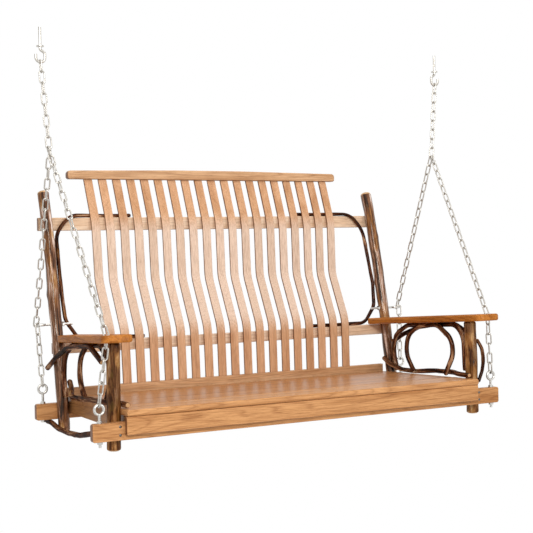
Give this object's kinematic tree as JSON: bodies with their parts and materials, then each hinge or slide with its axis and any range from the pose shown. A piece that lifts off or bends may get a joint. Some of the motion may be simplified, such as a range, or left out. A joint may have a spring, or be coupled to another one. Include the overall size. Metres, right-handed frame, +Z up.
{
  "type": "porch swing",
  "caption": "Hanging porch swing bench with bent back slats, bark-on posts and bows, board arms and a chain at each end.",
  "frame": {"origin": "midway between the two ceiling hooks, on the ceiling plane", "axes": "+Z up along the hook shanks, +X across the bench to its right end as seen from the front, -Y the way a sitter faces"},
  "size_m": [1.591, 0.8171, 1.3333],
  "materials": {
    "oak_slats": "satin varnish",
    "oak_rails": "satin varnish",
    "oak_seat": "gloss varnish",
    "oak_frame": "satin varnish",
    "oak_arms": "gloss varnish",
    "hickory_bark": "bark left on, varnished",
    "zinc_chain": "zinc plated",
    "steel_fittings": "zinc plated"
  },
  "bodies": {
    "ceiling": {"ceiling_hooks": "zinc_chain"},
    "left_drop": {"left_drop_chain": "zinc_chain"},
    "right_drop": {"right_drop_chain": "zinc_chain"},
    "bench": {"back_slat_01": "oak_slats", "back_slat_02": "oak_slats", "back_slat_03": "oak_slats", "back_slat_04": "oak_slats", "back_slat_05": "oak_slats", "back_slat_06": "oak_slats", "back_slat_07": "oak_slats", "back_slat_08": "oak_slats", "back_slat_09": "oak_slats", "back_slat_10": "oak_slats", "back_slat_11": "oak_slats", "back_slat_12": "oak_slats", "back_slat_13": "oak_slats", "back_slat_14": "oak_slats", "back_slat_15": "oak_slats", "back_slat_16": "oak_slats", "back_slat_17": "oak_slats", "back_slat_18": "oak_slats", "back_slat_19": "oak_slats", "crest_rail": "oak_slats", "eyebolt_nuts": "steel_fittings", "eyebolts": "steel_fittings", "front_beam": "oak_frame", "left_arm_bow": "hickory_bark", "left_arm_hoop": "hickory_bark", "left_arm_rest": "oak_arms", "left_back_bow": "hickory_bark", "left_bottom_brace": "hickory_bark", "left_front_post": "hickory_bark", "left_lower_arm_bow": "hickory_bark", "left_rear_post": "hickory_bark", "left_side_rail": "oak_frame", "left_upper_arm_bow": "hickory_bark", "left_v_chain": "zinc_chain", "lower_back_rail": "oak_rails", "post_screws": "steel_fittings", "rear_beam": "oak_frame", "right_arm_bow": "hickory_bark", "right_arm_hoop": "hickory_bark", "right_arm_rest": "oak_arms", "right_back_bow": "hickory_bark", "right_bottom_brace": "hickory_bark", "right_front_post": "hickory_bark", "right_lower_arm_bow": "hickory_bark", "right_outer_bow": "hickory_bark", "right_rear_post": "hickory_bark", "right_side_rail": "oak_frame", "right_upper_arm_bow": "hickory_bark", "right_v_chain": "zinc_chain", "s_hooks": "zinc_chain", "seat_apron": "oak_frame", "seat_board_1": "oak_seat", "seat_board_2": "oak_seat", "seat_board_3": "oak_seat", "seat_board_4": "oak_seat", "slat_base_rail": "oak_rails", "upper_back_rail": "oak_rails"}
  },
  "joints": [
    {"name": "left_swing", "type": "hinge", "parent": "ceiling", "child": "left_drop", "pos_m": [-0.776, 0, -0.053], "axis": [1, 0, 0], "range_deg": [-30, 30]},
    {"name": "right_swing", "type": "hinge", "parent": "ceiling", "child": "right_drop", "pos_m": [0.776, 0, -0.053], "axis": [1, 0, 0], "range_deg": [-30, 30]},
    {"name": "bench_pitch", "type": "hinge", "parent": "left_drop", "child": "bench", "pos_m": [-0.754, 0, -0.33093], "axis": [1, 0, 0], "range_deg": [-10, 10]}
  ],
  "couplings": [
    {"joint": "right_swing", "follows": "left_swing", "ratio": 1}
  ]
}
